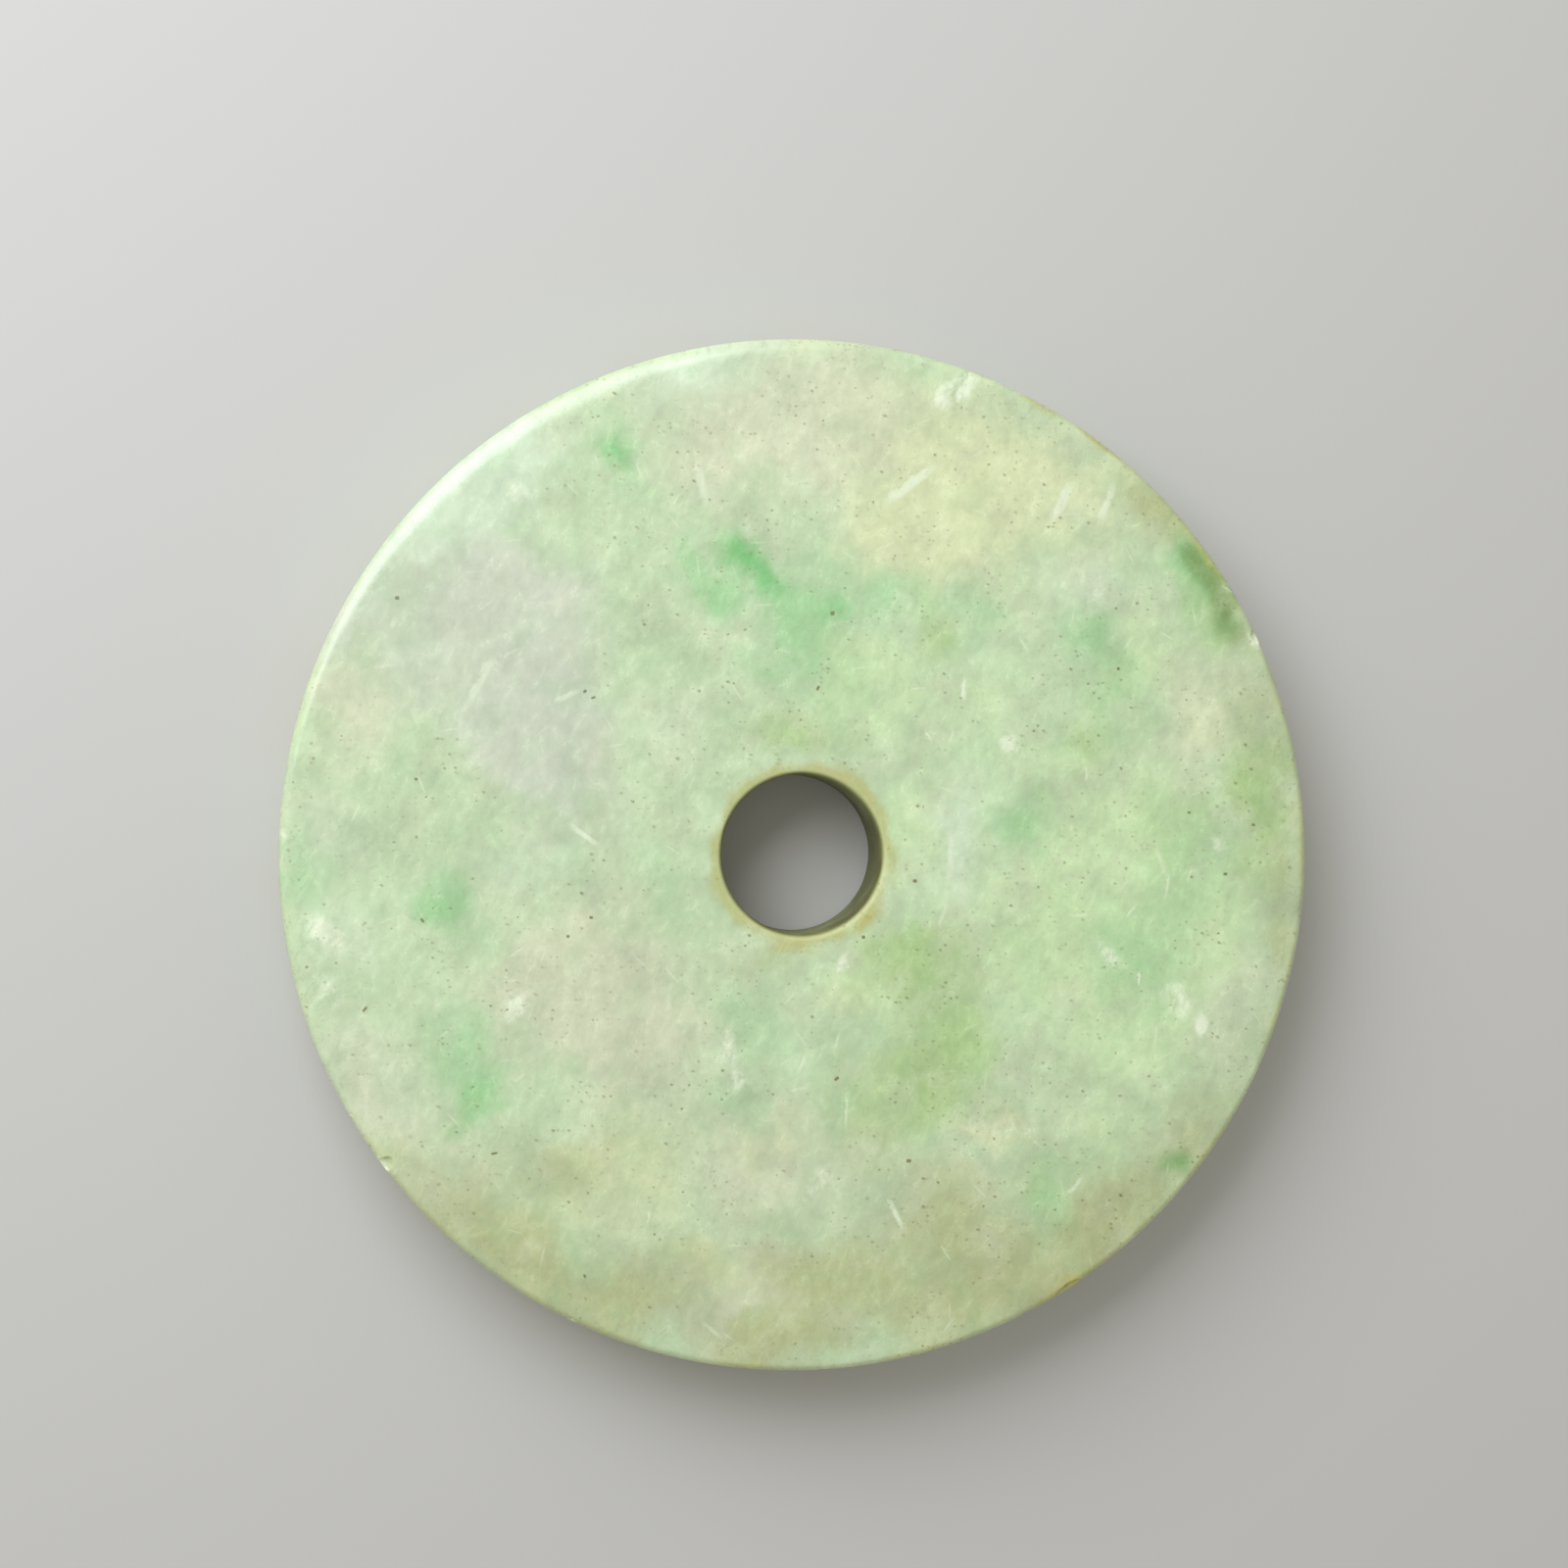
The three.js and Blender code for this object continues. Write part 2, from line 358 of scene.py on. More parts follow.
# Marks that the material draws, in the same terms as the clouds
WHITE_NEEDLES = (
    (-15.4, 8.2, 1.7, 0.27, 62, 0.6),
    (-11.2, 7.6, 0.9, 0.15, 30, 0.55),
    (-4.8, 17.7, 1.3, 0.28, -78, 0.6),
    (-5.6, 23.0, 0.5, 0.1, 20, 0.4),
    (5.3, 17.9, 1.8, 0.3, 38, 1.0),
    (12.7, 17.1, 1.2, 0.3, 60, 1.0),
    (14.9, 17.0, 1.3, 0.24, 70, 0.8),
    (4.5, 12.2, 0.7, 0.1, 60, 0.5),
    (7.9, 8.0, 0.7, 0.13, 88, 0.9),
    (6.1, 5.8, 0.5, 0.1, -55, 0.7),
    (7.3, 5.7, 0.4, 0.09, 76, 0.6),
    (5.6, 8.0, 0.5, 0.07, 10, 0.6),
    (13.9, 3.9, 0.4, 0.12, 88, 0.6),
    (-10.4, 0.9, 0.9, 0.17, -36, 0.8),
    (7.2, -0.2, 1.6, 0.24, 86, 0.6),
    (6.9, -2.9, 1.1, 0.1, 75, 0.45),
    (17.6, -0.4, 1.1, 0.17, -70, 0.45),
    (17.9, -1.6, 0.8, 0.08, 78, 0.6),
    (16.1, -2.8, 0.5, 0.1, 50, 0.7),
    (13.5, -3.0, 0.6, 0.1, 0, 0.6),
    (1.7, -9.0, 0.5, 0.1, 80, 0.6),
    (0.0, -10.1, 0.6, 0.12, 65, 0.7),
    (2.2, -12.3, 1.1, 0.1, 86, 0.5),
    (13.4, -16.1, 0.7, 0.17, 55, 0.6),
    (16.5, -6.1, 0.4, 0.1, 80, 0.9),
    (17.3, -8.9, 0.7, 0.1, 80, 0.6),
    (4.6, -17.4, 0.9, 0.17, -64, 0.75),
    (-7.4, -17.3, 0.4, 0.09, 80, 0.7),
    (-4.3, -22.8, 0.8, 0.14, -40, 0.5),
    (10.8, 10.2, 0.6, 0.09, -60, 0.5),
)
DARK_SPECKS = (
    (-10.4, 7.8, 0.11, 0.08, 40, 1.0),
    (-10.0, 7.5, 0.14, 0.07, 20, 0.8),
    (-19.3, 12.2, 0.13, 0.11, 0, 0.8),
    (1.5, 11.6, 0.12, 0.12, 0, 1.0),
    (0.8, 8.0, 0.15, 0.08, 60, 0.9),
    (15.5, 9.0, 0.09, 0.09, 0, 1.0),
    (-18.4, 3.6, 0.1, 0.08, 0, 0.8),
    (-18.1, -3.1, 0.16, 0.09, -50, 0.7),
    (-20.8, -7.3, 0.2, 0.08, 50, 0.7),
    (-14.7, -14.2, 0.2, 0.07, 10, 0.8),
    (-10.4, -20.1, 0.12, 0.08, -60, 0.7),
    (5.5, -1.3, 0.12, 0.1, 0, 1.0),
    (3.0, -4.0, 0.1, 0.1, 0, 1.0),
    (1.7, -10.8, 0.16, 0.1, 40, 0.8),
    (5.2, -14.8, 0.14, 0.1, 0, 1.0),
    (15.6, -16.6, 0.11, 0.08, -40, 0.7),
    (20.8, -1.0, 0.12, 0.08, 0, 1.0),
    (22.2, 1.4, 0.1, 0.08, 0, 0.9),
    (19.0, 2.0, 0.1, 0.08, 0, 0.7),
    (-10.1, -3.0, 0.11, 0.09, 0, 0.8),
    (-11.2, -3.9, 0.1, 0.09, 0, 0.8),
)


class BiSizes(bpy.types.PropertyGroup):
    """The disc's shape."""

    diameter: bpy.props.FloatProperty(
        name="Diameter",
        description="Across the disc, where its side wall is fullest",
        default=CAD_HIGH.x - CAD_LOW.x,
        unit="LENGTH",
    )
    thickness: bpy.props.FloatProperty(
        name="Thickness",
        description="From the underside to the upper face",
        default=CAD_HIGH.z - CAD_LOW.z,
        unit="LENGTH",
    )
    bore_radius: bpy.props.FloatProperty(
        name="Bore radius",
        description="From the axis to the bore's wall",
        default=bore_radius_of(CAD_NODE),
        unit="LENGTH",
    )
    bore_ease: bpy.props.FloatProperty(
        name="Bore edge",
        description="How far the bore's edges are rounded where a cord has rubbed them least",
        default=0.22 * MM,
        unit="LENGTH",
    )
    bore_wear: bpy.props.FloatProperty(
        name="Cord wear",
        description="How much wider the bore's edges are on the side that a cord has rubbed",
        default=0.16 * MM,
        unit="LENGTH",
    )
    bore_wear_bearing: bpy.props.FloatProperty(
        name="Cord side",
        description="The bearing of the rubbed side, from +X",
        default=math.radians(-35),
        subtype="ANGLE",
    )
    rim_ease_depth: bpy.props.FloatProperty(
        name="Rim depth",
        description="How far down the side wall the rim's rounding reaches",
        default=0.5 * MM,
        unit="LENGTH",
    )
    rim_ease_width: bpy.props.FloatProperty(
        name="Rim width",
        description="How far in over the face the rim's rounding reaches at its narrowest",
        default=0.38 * MM,
        unit="LENGTH",
    )
    rim_broadening: bpy.props.FloatProperty(
        name="Rim broadening",
        description="How much wider the rim's rounding is on its broad side",
        default=0.8 * MM,
        unit="LENGTH",
    )
    broad_bearing: bpy.props.FloatProperty(
        name="Broad side",
        description="The bearing of the broad side of the rim, from +X",
        default=math.radians(122),
        subtype="ANGLE",
    )
    broad_sharpness: bpy.props.FloatProperty(
        name="Broad side's sharpness",
        description="How quickly the rim's rounding narrows away from the middle of its broad side",
        default=12,
    )
    wall_barrel: bpy.props.FloatProperty(
        name="Barrel",
        description="How far the side wall swells at mid height",
        default=0.12 * MM,
        unit="LENGTH",
    )
    ripple: bpy.props.FloatProperty(
        name="Ripple",
        description="The height of the faint waves that hand polishing leaves in the faces",
        default=0.02 * MM,
        unit="LENGTH",
    )
    rim_wander: bpy.props.FloatProperty(
        name="Rim wander",
        description="How far the hand-cut rim strays inside a true circle",
        default=0.05 * MM,
        unit="LENGTH",
    )
    turn_steps: bpy.props.IntProperty(
        name="Turn steps",
        description="How many steps the section takes round the axis",
        default=640,
        min=24,
    )


class BiFinish(bpy.types.PropertyGroup):
    """The stone's colours and polish."""

    celadon: bpy.props.FloatVectorProperty(
        name="Celadon",
        description="The stone's main colour",
        default=tone(194, 215, 175),
        subtype="COLOR",
    )
    # Pale also colours the painted sheen by the upper left rim
    pale: bpy.props.FloatVectorProperty(
        name="Pale",
        description="The bluish white clouds",
        default=tone(207, 226, 195),
        subtype="COLOR",
    )
    mint: bpy.props.FloatVectorProperty(
        name="Mint",
        description="The bright, slightly yellow clouds",
        default=tone(203, 228, 176),
        subtype="COLOR",
    )
    lavender: bpy.props.FloatVectorProperty(
        name="Lavender",
        description="The greyish lilac clouds",
        default=tone(202, 210, 188),
        subtype="COLOR",
    )
    rose: bpy.props.FloatVectorProperty(
        name="Rose",
        description="The clouds with a breath of pink",
        default=tone(207, 213, 181),
        subtype="COLOR",
    )
    cream: bpy.props.FloatVectorProperty(
        name="Cream",
        description="The yellowish clouds",
        default=tone(214, 222, 176),
        subtype="COLOR",
    )
    # Brownish clouds, and painted shade along the lower and right rim
    umber_and_rim_shade: bpy.props.FloatVectorProperty(
        name="Umber",
        description="The brownish clouds",
        default=tone(181, 189, 139),
        subtype="COLOR",
    )
    olive: bpy.props.FloatVectorProperty(
        name="Olive",
        description="The yellow green clouds",
        default=tone(174, 203, 140),
        subtype="COLOR",
    )
    green: bpy.props.FloatVectorProperty(
        name="Green",
        description="The green clouds",
        default=tone(160, 205, 150),
        subtype="COLOR",
    )
    emerald: bpy.props.FloatVectorProperty(
        name="Emerald",
        description="The strongest green, in the streaks",
        default=tone(112, 190, 112),
        subtype="COLOR",
    )
    moss: bpy.props.FloatVectorProperty(
        name="Moss",
        description="The dark, brownish green near the rim",
        default=tone(126, 156, 92),
        subtype="COLOR",
    )
    cotton: bpy.props.FloatVectorProperty(
        name="Cotton",
        description="The white flecks, needles and woolly patches",
        default=tone(229, 240, 210),
        subtype="COLOR",
    )
    pit_brown: bpy.props.FloatVectorProperty(
        name="Pit brown",
        description="What fills the tiny pits",
        default=tone(118, 116, 66),
        subtype="COLOR",
    )
    # Ochre also paints the golden glint on the lower right rim
    ochre: bpy.props.FloatVectorProperty(
        name="Ochre",
        description="The stain round the bore and along the rim",
        default=tone(186, 181, 96),
        subtype="COLOR",
    )
    # The bore wall's dirt, made darker as painted shade for the shadow and dark reflection inside the bore
    grime_and_shade: bpy.props.FloatVectorProperty(
        name="Grime",
        description="The dirt on the bore's wall",
        default=tone(96, 98, 46),
        subtype="COLOR",
    )
    mottle: bpy.props.FloatProperty(
        name="Mottle",
        description="How much lighter and darker the stone is from one millimetre to the next",
        default=0.38,
        min=0,
        max=1,
        subtype="FACTOR",
    )
    grain: bpy.props.FloatProperty(
        name="Grain",
        description="How much lighter and darker the small crystals are",
        default=0.5,
        min=0,
        max=1,
        subtype="FACTOR",
    )
    roughness: bpy.props.FloatProperty(
        name="Roughness",
        description="The polish, before wear and stain",
        default=0.24,
        min=0,
        max=1,
        subtype="FACTOR",
    )
    glow: bpy.props.FloatProperty(
        name="Glow",
        description="The share of light that travels inside the stone",
        default=0.3,
        min=0,
        max=1,
        subtype="FACTOR",
    )
    glow_depth: bpy.props.FloatProperty(
        name="Glow depth",
        description="How far light travels inside the stone",
        default=0.9 * MM,
        unit="LENGTH",
    )


class BiStage(bpy.types.PropertyGroup):
    """The floor, the lights and the camera."""

    floor_colour: bpy.props.FloatVectorProperty(
        name="Floor",
        description="The plain floor's colour",
        default=tone(196, 195, 192),
        subtype="COLOR",
    )
    key_power: bpy.props.FloatProperty(
        name="Key light",
        description="The soft light from the upper left",
        default=0.5,
        unit="POWER",
    )
    key_size: bpy.props.FloatProperty(
        name="Key size",
        description="The side of the soft light",
        default=0.19,
        unit="LENGTH",
    )
    key_distance: bpy.props.FloatProperty(
        name="Key distance",
        description="From the disc to the soft light",
        default=0.23,
        unit="LENGTH",
    )
    sky: bpy.props.FloatProperty(
        name="Sky",
        description="The even light from all round",
        default=0.48,
    )
    camera_distance: bpy.props.FloatProperty(
        name="Camera distance",
        description="From the point that the camera looks at",
        default=138.6 * MM,
        unit="LENGTH",
    )
    camera_tilt: bpy.props.FloatProperty(
        name="Camera tilt",
        description="How far the camera leans from straight above",
        default=math.radians(5.7),
        subtype="ANGLE",
    )
    camera_bearing: bpy.props.FloatProperty(
        name="Camera bearing",
        description="The side that the camera leans to, from +X",
        default=math.radians(183.3),
        subtype="ANGLE",
    )
    lens: bpy.props.FloatProperty(
        name="Lens",
        description="Focal length on a 36 mm wide sensor, in millimetres",
        default=66.2,
    )


def take_up(piece):
    """Makes the piece the only selected object, and the active one."""
    bpy.ops.object.select_all(action="DESELECT")
    piece.select_set(True)
    bpy.context.view_layer.objects.active = piece


def select_where(piece, kind, test):
    """Selects the corners (VERT) or edges (EDGE) whose corners pass the test. Leaves edit mode on."""
    bpy.ops.object.mode_set(mode="EDIT")
    bpy.ops.mesh.select_mode(type=kind)
    bpy.ops.mesh.select_all(action="DESELECT")
    bpy.ops.object.mode_set(mode="OBJECT")
    mesh = piece.data
    chosen = [test(vertex.co) for vertex in mesh.vertices]
    if kind == "VERT":
        mesh.vertices.foreach_set("select", chosen)
    else:
        mesh.edges.foreach_set("select", [all(chosen[end] for end in edge.vertices) for edge in mesh.edges])
    bpy.ops.object.mode_set(mode="EDIT")


def apply_modifier(piece, kind, **settings):
    """Adds a modifier to the piece and applies it."""
    modifier = piece.modifiers.new(kind.title(), kind)
    for name, value in settings.items():
        setattr(modifier, name, value)
    take_up(piece)
    bpy.ops.object.modifier_apply(modifier=modifier.name)


RIM_SEGMENTS = 8
BORE_SEGMENTS = 4
UPPER_CUTS = 74
UNDER_CUTS = 20
WALL_CUTS = 6
BORE_CUTS = 4


def add_section(sizes):
    """The disc's section from the bore out to the side wall: the outline of a plane with rounded corners."""
    edge = sizes.diameter / 2 - sizes.wall_barrel
    top = sizes.thickness
    bore = sizes.bore_radius
    bpy.ops.mesh.primitive_plane_add(
        size=1, location=((bore + edge) / 2, 0, top / 2), rotation=(math.pi / 2, 0, 0)
    )
    piece = bpy.context.object
    piece.scale = (edge - bore, top, 1)
    bpy.ops.object.transform_apply(location=True, rotation=True, scale=True)

    middle = (bore + edge) / 2
    select_where(piece, "VERT", lambda co: co.x > middle)
    bpy.ops.mesh.bevel(affect="VERTICES", offset=sizes.rim_ease_depth, segments=RIM_SEGMENTS)
    select_where(piece, "VERT", lambda co: co.x < middle)
    bpy.ops.mesh.bevel(affect="VERTICES", offset=sizes.bore_ease, segments=BORE_SEGMENTS)
    bpy.ops.mesh.select_all(action="SELECT")
    bpy.ops.mesh.delete(type="ONLY_FACE")

    hair = MERGE_DISTANCE
    for test, cuts in (
        (lambda co: co.z > top - hair, UPPER_CUTS),
        (lambda co: co.z < hair, UNDER_CUTS),
        (lambda co: co.x > edge - hair, WALL_CUTS),
        (lambda co: co.x < bore + hair, BORE_CUTS),
    ):
        select_where(piece, "EDGE", test)
        bpy.ops.mesh.subdivide(number_cuts=cuts)
    return piece


def turn_section(piece, steps):
    """Turns the section once round the Z axis into a closed ring."""
    bpy.ops.object.mode_set(mode="OBJECT")
    apply_modifier(piece, "SCREW", axis="Z", angle=math.tau, steps=steps, render_steps=steps)
    bpy.ops.object.mode_set(mode="EDIT")
    bpy.ops.mesh.select_all(action="SELECT")
    bpy.ops.mesh.remove_doubles(threshold=MERGE_DISTANCE)
    bpy.ops.mesh.normals_make_consistent(inside=False)
    bpy.ops.object.mode_set(mode="OBJECT")


def near_bearing(angle, bearing):
    """0 opposite the bearing and 1 at it, in a smooth swell."""
    return (1 + math.cos(angle - bearing)) / 2


WANDER_WAVES = 2.6  # how quickly the rim strays in and out, in noise cells per radius
RIPPLE_PER_METRE = 140  # noise cells per metre across the faces


def remapped(value, low, high, new_low, new_high):
    """The value taken from the span low to high into the same part of the span new_low to new_high."""
    return new_low + (value - low) * (new_high - new_low) / (high - low)


def worn_place(point, sizes):
    """Where a point of the evenly turned ring goes: the rim and bore edges widen on their worn sides, the
    side wall swells, the rim strays a little, and the faces ripple. It never leaves the ring's own box."""
    radius = math.hypot(point.x, point.y)
    angle = math.atan2(point.y, point.x)
    height = point.z
    top = sizes.thickness
    edge = sizes.diameter / 2 - sizes.wall_barrel
    bore = sizes.bore_radius

    face_end = edge - sizes.rim_ease_depth
    broad = near_bearing(angle, sizes.broad_bearing) ** sizes.broad_sharpness
    rim_width = sizes.rim_ease_width + sizes.rim_broadening * broad
    face_start = bore + sizes.bore_ease
    bore_width = sizes.bore_ease + sizes.bore_wear * near_bearing(angle, sizes.bore_wear_bearing) ** 2
    if radius > face_end - MERGE_DISTANCE:
        radius = remapped(radius, face_end, edge, edge - rim_width, edge)
        off_middle = (height - top / 2) / (top / 2 - sizes.rim_ease_depth)
        radius += sizes.wall_barrel * max(0, 1 - off_middle**2)
    elif radius < face_start + MERGE_DISTANCE:
        radius = remapped(radius, bore, face_start, bore, bore + bore_width)
        growth = bore_width / sizes.bore_ease
        if height > top - sizes.bore_ease:
            height = top - (top - height) * growth
        elif height < sizes.bore_ease:
            height *= growth
    else:
        radius = remapped(radius, face_start, face_end, bore + bore_width, edge - rim_width)
    heading = Vector((math.cos(angle), math.sin(angle), height / top)) * WANDER_WAVES
    radius *= 1 - sizes.rim_wander / edge * abs(noise.noise(heading))

    flat = Vector((radius * math.cos(angle), radius * math.sin(angle), height))
    wave = 0.5 + 0.5 * noise.noise(flat * RIPPLE_PER_METRE)
    if height > top / 2:
        flat.z -= sizes.ripple * wave * min(1, (2 * height / top - 1) ** 2)
    else:
        flat.z += sizes.ripple * wave * min(1, (1 - 2 * height / top) ** 2)
    return flat


CHIP_LUMPS = 0.22  # how lumpy a chip's hollow is, as a share of its size
LUMP_WAVES = 1.3  # noise cells in a hollow's radius


def add_pebble(sizes, bearing, along, inwards, down, sink):
    """The stone that one knock took away, as a lumpy pebble on the rim. Sizes are in metres."""
    bpy.ops.mesh.primitive_ico_sphere_add(subdivisions=3, radius=1)
    pebble = bpy.context.object
    for vertex in pebble.data.vertices:
        lump = noise.noise(vertex.co * LUMP_WAVES + Vector((bearing, along * PER_METRE, 0)))
        vertex.co *= 1 + CHIP_LUMPS * lump
    edge = sizes.diameter / 2 - sizes.wall_barrel
    angle = math.radians(bearing)
    pebble.scale = (inwards, along / 2, down)
    pebble.rotation_euler.z = angle
    pebble.location = (edge * math.cos(angle), edge * math.sin(angle), sizes.thickness - sink)
    bpy.ops.object.transform_apply(location=True, rotation=True, scale=True)
    return pebble


def knock_chips(piece, sizes):
    """Takes the chips and the nibbled stretches out of the rim's upper edge."""
    pebbles = [
        add_pebble(sizes, bearing, along * MM, inwards * MM, down * MM, 0)
        for bearing, along, inwards, down in CHIPS
    ]
    chance = random.Random(NIBBLE_SEED)
    for start, end, count in NIBBLED_STRETCHES:
        for _ in range(count):
            size = chance.uniform(*NIBBLE_MM) * MM
            bearing = chance.uniform(start, end)
            sink = chance.uniform(*NIBBLE_SINK) * sizes.rim_ease_depth
            pebble = add_pebble(sizes, bearing, size, size * NIBBLE_REACH, size * NIBBLE_DEPTH, sink)
            pebbles.append(pebble)
    take_up(pebbles[0])
    for pebble in pebbles:
        pebble.select_set(True)
    bpy.ops.object.join()
    taken = bpy.context.object
    apply_modifier(piece, "BOOLEAN", operation="DIFFERENCE", object=taken, solver="MANIFOLD")
    bpy.data.objects.remove(taken)


def ready(marks):
    """Marks as rows that cloud_share can use: place, reach, two scaled directions and strength."""
    rows = []
    for right, up, length, width, degrees, strength in marks:
        turn = math.radians(degrees)
        along = Vector((math.cos(turn), math.sin(turn))) / length
        across = Vector((-math.sin(turn), math.cos(turn))) / width
        rows.append((right, up, max(length, width), *along, *across, strength))
    return rows


def cloud_share(rows, right, up):
    """How strongly the marks show at a place in millimetres, as the sum of their soft spots."""
    share = 0.0
    for mark_right, mark_up, reach, along_x, along_y, across_x, across_y, strength in rows:
        x = right - mark_right
        y = up - mark_up
        if abs(x) < reach and abs(y) < reach:
            away = (x * along_x + y * along_y) ** 2 + (x * across_x + y * across_y) ** 2
            if away < 1:
                share += strength * (1 - away) ** 2
    return share


STRAYING = ((0.4, 1.1), (1.3, 0.5))  # noise cells per millimetre, and how far they push a cloud's edge
STRAYING_SEED = 7  # without it the noise vectors differ from run to run
UNDERSIDE_TURN = Matrix.Rotation(math.radians(140), 2)
WALL_BLEND = (1 / 12, 11 / 12)  # the part of the side wall where one face's clouds give way to the other's


def straying(place):
    """How far noise pushes a place in millimetres, which makes a cloud ragged."""
    push = Vector((0, 0))
    for per_mm, reach in STRAYING:
        spot = Vector((*(place + push), reach))
        push += reach * noise.noise_vector(spot * per_mm).xy
    return push


def paint_clouds(piece, sizes):
    """Keeps with each corner how strongly each kind of cloud shows there. The underside has the upper face's
    clouds turned round the axis, and the side wall leads from the one to the other."""
    noise.seed_set(STRAYING_SEED)
    corners = []
    for vertex in piece.data.vertices:
        height = min(1, max(0, remapped(vertex.co.z / sizes.thickness, *WALL_BLEND, 0, 1)))
        upper = vertex.co.xy * PER_METRE
        under = UNDERSIDE_TURN @ upper
        corners.append((height, upper, straying(upper), under, straying(under)))
    for name, marks in CLOUDS.items():
        rows = ready(marks)
        ragged = RAGGED.get(name, 1)
        shares = []
        for height, upper, upper_push, under, under_push in corners:
            share = height * cloud_share(rows, *(upper + ragged * upper_push)) if height > 0 else 0
            if height < 1:
                share += (1 - height) * cloud_share(rows, *(under + ragged * under_push))
            shares.append(share)
        kept = piece.data.attributes.new(name, "FLOAT", "POINT")
        kept.data.foreach_set("value", shares)


class Recipe:
    """A node tree under construction. Each method adds nodes and gives back an output socket."""

    def __init__(self, tree):
        self.tree = tree
        self.turns = {}

    def add(self, kind, inputs=(), **settings):
        """A node of this kind, with its settings, and its inputs linked or set."""
        node = self.tree.nodes.new(kind)
        for name, value in settings.items():
            setattr(node, name, value)
        for key, value in dict(inputs).items():
            if isinstance(value, bpy.types.NodeSocket):
                self.tree.links.new(value, node.inputs[key])
            else:
                node.inputs[key].default_value = value
        return node

    def maths(self, operation, *values):
        """A sum on one or more numbers, such as MULTIPLY."""
        return self.add("ShaderNodeMath", enumerate(values), operation=operation).outputs[0]

    def vectors(self, operation, *values):
        """A sum on vectors, such as ADD."""
        return self.add("ShaderNodeVectorMath", enumerate(values), operation=operation).outputs[0]

    def band(self, value, nothing, full):
        """0 where the value is at nothing or beyond, 1 at full or beyond, and smooth between."""
        span = {"Value": value, "From Min": nothing, "From Max": full}
        return self.add("ShaderNodeMapRange", span, interpolation_type="SMOOTHSTEP").outputs[0]

    def mix(self, share, under, over, way="MIX"):
        """The colour under, with a share of the colour over laid on it."""
        parts = {"Factor": share, 6: under, 7: over}
        return self.add("ShaderNodeMix", parts, data_type="RGBA", blend_type=way).outputs[2]

    def grain(self, place, per_mm, detail, roughness, distortion=0.0):
        """Noise, 0 to 1 and mostly near a half, with cells 1 / per_mm millimetres across. Its frame is
        tilted, because noise shows its cells on a plane that lies along them."""
        tilt = {"Vector": place, "Axis": (0.8, 0.5, 0.3), "Angle": 0.9}
        tilted = self.add("ShaderNodeVectorRotate", tilt).outputs[0]
        settings = {"Vector": tilted, "Scale": per_mm, "Detail": detail, "Roughness": roughness}
        return self.add("ShaderNodeTexNoise", {**settings, "Distortion": distortion}).outputs[0]

    def share_of(self, name):
        """How strongly a kind of cloud shows, as paint_clouds left it with the corners."""
        return self.add("ShaderNodeAttribute", attribute_name=name).outputs["Fac"]

    def turned(self, place, degrees):
        """The place as seen from a frame that is turned about Z, from one node for each place and turn."""
        key = (place.node.name, degrees)
        if degrees and key not in self.turns:
            turn = {"Vector": place, "Rotation": (0, 0, math.radians(-degrees))}
            self.turns[key] = self.add("ShaderNodeMapping", turn).outputs[0]
        return self.turns.get(key, place)

    def stretched(self, place, size, start):
        """The place counted in parts of size, from the start."""
        parts = tuple(1 / length for length in size)
        shift = tuple(-begin / length for begin, length in zip(start, size))
        return self.vectors("MULTIPLY_ADD", place, parts, shift)

    def laths(self, place, marks, depth):
        """The sum of blunt marks in the upper face, which fade downwards over the depth in millimetres."""
        total = 0.0
        for right, up, length, width, degrees, strength in marks:
            centre = Matrix.Rotation(math.radians(-degrees), 2) @ Vector((right, up))
            at = self.stretched(self.turned(place, degrees), (length, width, depth), (*centre, TOP_MM))
            squared = self.vectors("MULTIPLY", at, at)
            away = self.add("ShaderNodeVectorMath", {0: squared}, operation="LENGTH").outputs["Value"]
            fall = {0: away, 1: -strength, 2: strength}
            ball = self.add("ShaderNodeMath", fall, operation="MULTIPLY_ADD", use_clamp=True)
            total = self.maths("ADD", ball.outputs[0], total)
        return total

    def flecks(self, place, spacing, largest):
        """Dots on scattered points, some of them faint. The largest radius is in parts of the spacing."""
        at = self.stretched(place, spacing, (0, 0, 0))
        cells = self.add("ShaderNodeTexVoronoi", {"Vector": at, "Scale": 1.0})
        chances = self.add("ShaderNodeSeparateColor", {0: cells.outputs["Color"]})
        reach = self.maths("MULTIPLY", chances.outputs[1], largest)
        near = self.band(cells.outputs["Distance"], reach, 0.0)
        return self.maths("MULTIPLY", near, self.band(chances.outputs[0], 0.0, 1.0))

    def straws(self, place, spacing, size):
        """Straight needles on scattered points, each turned its own way about Z, and some of them faint."""
        cells = self.add("ShaderNodeTexVoronoi", {"Vector": place, "Scale": 1 / spacing})
        chances = self.add("ShaderNodeSeparateColor", {0: cells.outputs["Color"]})
        centre = {0: cells.outputs["Position"], "Scale": -1.0}
        back = self.add("ShaderNodeVectorMath", centre, operation="SCALE").outputs[0]
        near = self.vectors("ADD", place, back)
        turn = self.maths("MULTIPLY", chances.outputs[1], math.tau)
        level = self.add("ShaderNodeVectorRotate", {"Vector": near, "Angle": turn}, rotation_type="Z_AXIS")
        at = self.stretched(level.outputs[0], size, (0, 0, 0))
        away = self.add("ShaderNodeVectorMath", {0: at}, operation="LENGTH").outputs["Value"]
        return self.maths("MULTIPLY", self.band(away, 1.0, 0.5), self.band(chances.outputs[0], 0.0, 1.0))


def millimetre_place(recipe):
    """Object coordinates in millimetres."""
    corner = recipe.add("ShaderNodeTexCoord").outputs["Object"]
    scaled = recipe.add("ShaderNodeVectorMath", {0: corner, "Scale": PER_METRE}, operation="SCALE")
    return scaled.outputs[0]


NEEDLE_DEPTH = 1.2  # millimetres that the needles and specks reach down from the upper face


